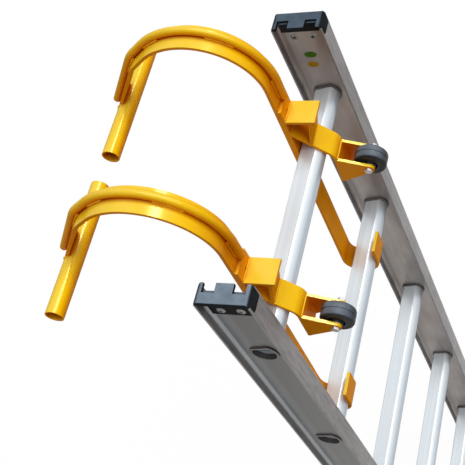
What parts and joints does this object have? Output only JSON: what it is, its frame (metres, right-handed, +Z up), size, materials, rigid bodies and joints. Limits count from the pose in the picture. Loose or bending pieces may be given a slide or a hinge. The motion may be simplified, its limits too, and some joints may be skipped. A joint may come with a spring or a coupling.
{
  "type": "roof ladder",
  "caption": "Aluminium roof ladder section with two bolt-on painted ridge hooks, each with a cross tube and a transport wheel, and swivel feet.",
  "frame": {"origin": "midway between the two feet, on the ground under the rails", "axes": "+Z up the rails, X along the rungs, +Y toward the roof side of the hooks"},
  "size_m": [0.4802, 0.3785, 2.5809],
  "materials": {
    "rail_aluminium": "satin mill finish",
    "rung_aluminium": "satin mill finish",
    "hook_paint": "gloss powder coat",
    "cap_plastic": "fine moulded grain",
    "zinc_steel": "bright zinc",
    "tyre_rubber": "matte",
    "hub_plastic": "matte",
    "pad_rubber": "matte"
  },
  "bodies": {
    "ladder": {"rail_left": "rail_aluminium", "rail_right": "rail_aluminium", "rung_1": "rung_aluminium", "rung_2": "rung_aluminium", "rung_3": "rung_aluminium", "rung_4": "rung_aluminium", "rung_5": "rung_aluminium", "rung_6": "rung_aluminium", "rung_7": "rung_aluminium", "rung_8": "rung_aluminium", "cap_left": "cap_plastic", "cap_right": "cap_plastic", "cap_rivets_left": "zinc_steel", "cap_rivets_right": "zinc_steel", "foot_bolt_left": "zinc_steel", "foot_bolt_right": "zinc_steel", "foot_nut_left": "zinc_steel", "foot_nut_right": "zinc_steel", "foot_spacers_left": "zinc_steel", "foot_spacers_right": "zinc_steel"},
    "hook_left": {"hook_strap_left": "hook_paint", "hook_rod_left": "hook_paint", "cross_tube_left": "hook_paint", "clamp_bolt_left": "zinc_steel", "clamp_washer_left": "zinc_steel", "clamp_nut_left": "zinc_steel"},
    "bracket_body_left": {"bracket_left": "hook_paint", "axle_bolt_left": "zinc_steel", "axle_nut_left": "zinc_steel", "axle_washers_left": "zinc_steel"},
    "wheel_left": {"tyre_left": "tyre_rubber", "hub_left": "hub_plastic"},
    "foot_left": {"foot_shoe_left": "rail_aluminium", "foot_pad_left": "pad_rubber"},
    "hook_right": {"hook_strap_right": "hook_paint", "hook_rod_right": "hook_paint", "cross_tube_right": "hook_paint", "clamp_bolt_right": "zinc_steel", "clamp_washer_right": "zinc_steel", "clamp_nut_right": "zinc_steel"},
    "bracket_body_right": {"bracket_right": "hook_paint", "axle_bolt_right": "zinc_steel", "axle_nut_right": "zinc_steel", "axle_washers_right": "zinc_steel"},
    "wheel_right": {"tyre_right": "tyre_rubber", "hub_right": "hub_plastic"},
    "foot_right": {"foot_shoe_right": "rail_aluminium", "foot_pad_right": "pad_rubber"}
  },
  "joints": [
    {"name": "hook_left_slide", "type": "slide", "parent": "ladder", "child": "hook_left", "axis": [1, 0, 0], "range_m": [-0.025, 0.02]},
    {"name": "bracket_left_slide", "type": "slide", "parent": "hook_left", "child": "bracket_body_left", "axis": [0, -0.0332, 0.9995], "range_m": [0, 0.005]},
    {"name": "wheel_left_spin", "type": "hinge", "parent": "bracket_body_left", "child": "wheel_left", "pos_m": [-0.1375, -0.07486, 2.28802], "axis": [1, 0, 0], "continuous": true},
    {"name": "foot_left_pivot", "type": "hinge", "parent": "ladder", "child": "foot_left", "pos_m": [-0.2138, 0, 0.06352], "axis": [1, 0, 0], "range_deg": [-45, 45]},
    {"name": "hook_right_slide", "type": "slide", "parent": "ladder", "child": "hook_right", "axis": [1, 0, 0], "range_m": [-0.02, 0.025]},
    {"name": "bracket_right_slide", "type": "slide", "parent": "hook_right", "child": "bracket_body_right", "axis": [0, -0.0332, 0.9995], "range_m": [0, 0.005]},
    {"name": "wheel_right_spin", "type": "hinge", "parent": "bracket_body_right", "child": "wheel_right", "pos_m": [0.1155, -0.07486, 2.28802], "axis": [1, 0, 0], "continuous": true},
    {"name": "foot_right_pivot", "type": "hinge", "parent": "ladder", "child": "foot_right", "pos_m": [0.2138, 0, 0.06352], "axis": [1, 0, 0], "range_deg": [-45, 45]}
  ]
}
